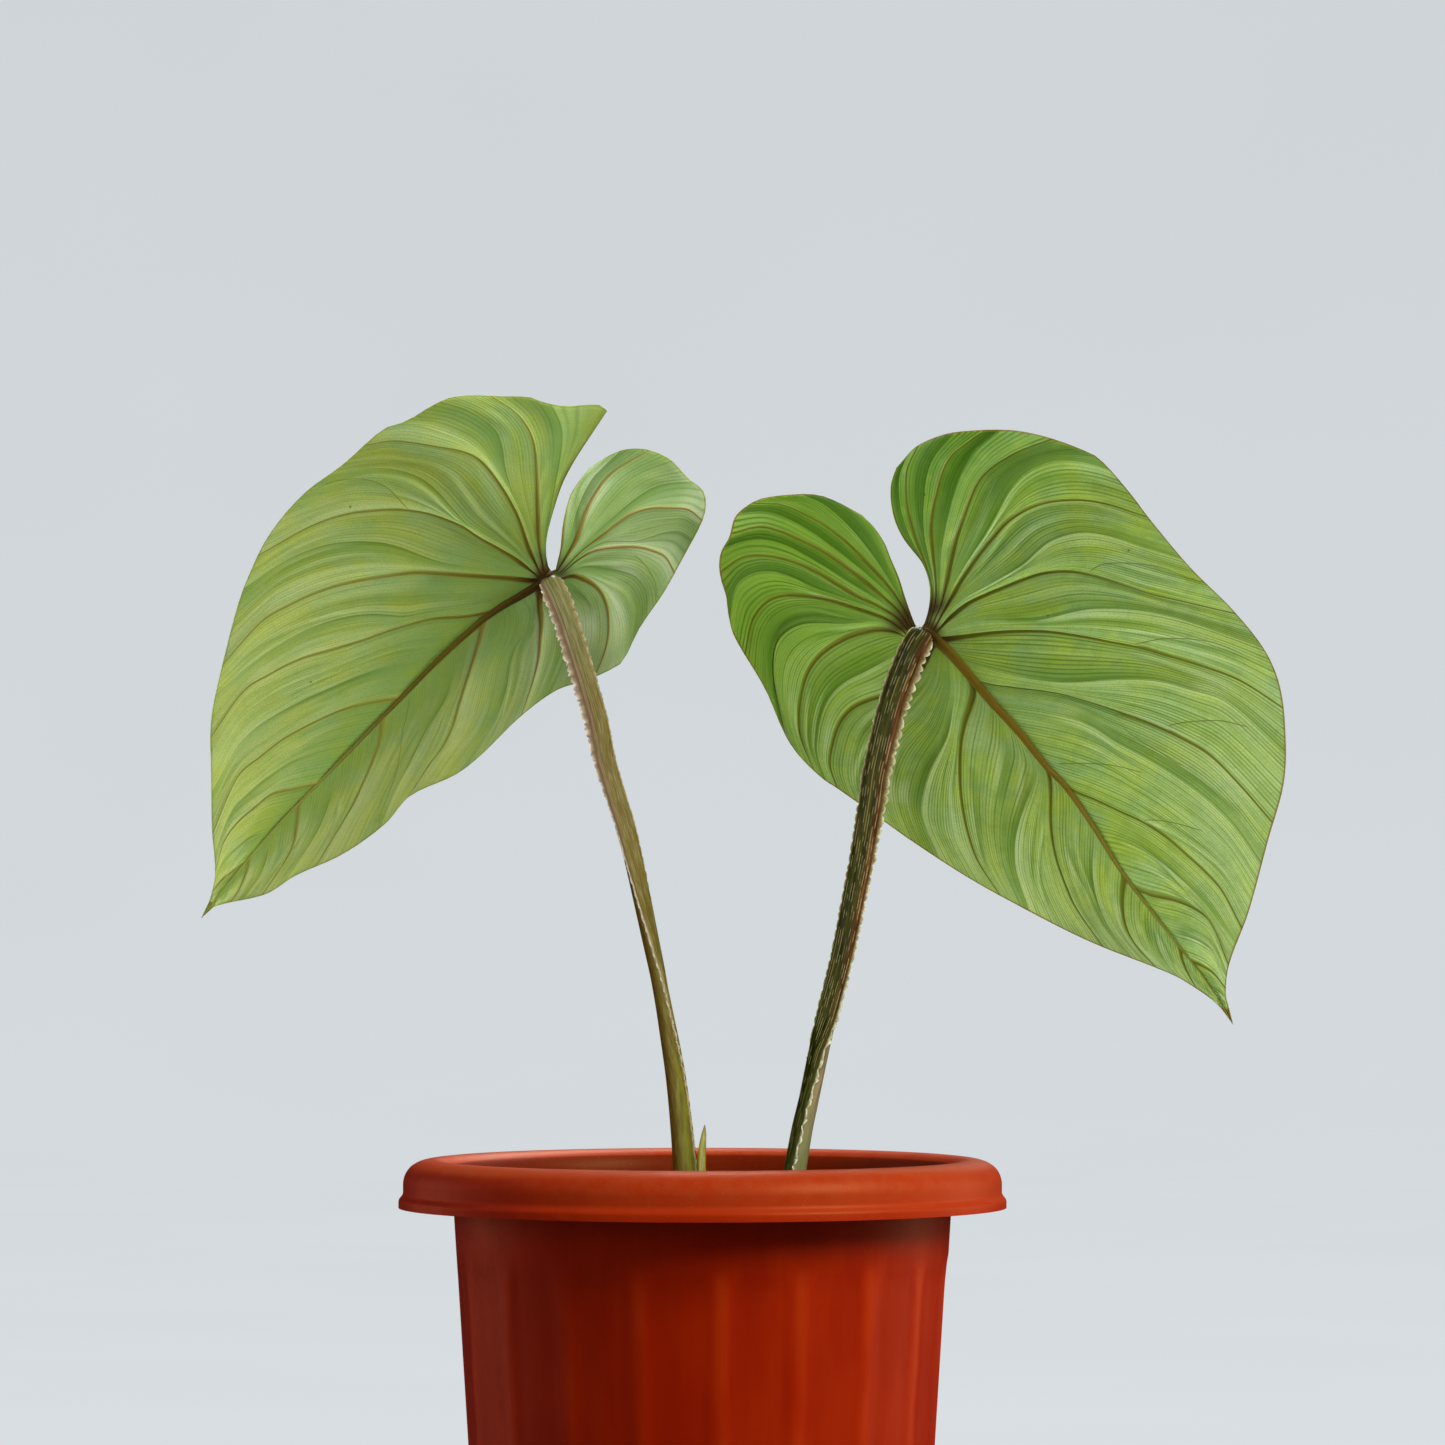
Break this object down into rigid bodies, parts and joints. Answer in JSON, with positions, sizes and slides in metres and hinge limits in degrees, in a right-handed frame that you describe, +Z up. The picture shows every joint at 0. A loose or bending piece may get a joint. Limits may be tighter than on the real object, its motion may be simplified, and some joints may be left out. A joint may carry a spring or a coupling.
{
  "type": "potted philodendron",
  "caption": "Young potted philodendron: heart-shaped ribbed leaves on ruffled stalks, seen from their undersides, in a fluted terracotta-red plastic pot with a rolled rim.",
  "frame": {"origin": "middle of the pot's underside, where it stands", "axes": "+Z up, +X to the right of the front view, -Y towards the front, which is where the leaves show their undersides"},
  "size_m": [0.3647, 0.2003, 0.4186],
  "materials": {
    "pot": "satin",
    "soil": "matte",
    "rhizome": "satin",
    "petiole_left": "satin",
    "petiole_right": "satin",
    "blade_left": "satin",
    "blade_right": "satin",
    "cataphyll": "satin"
  },
  "bodies": {
    "root": {"pot": "pot", "soil": "soil", "rhizome": "rhizome", "petiole_left": "petiole_left", "petiole_right": "petiole_right", "blade_left": "blade_left", "blade_right": "blade_right", "cataphyll": "cataphyll"}
  },
  "joints": []
}
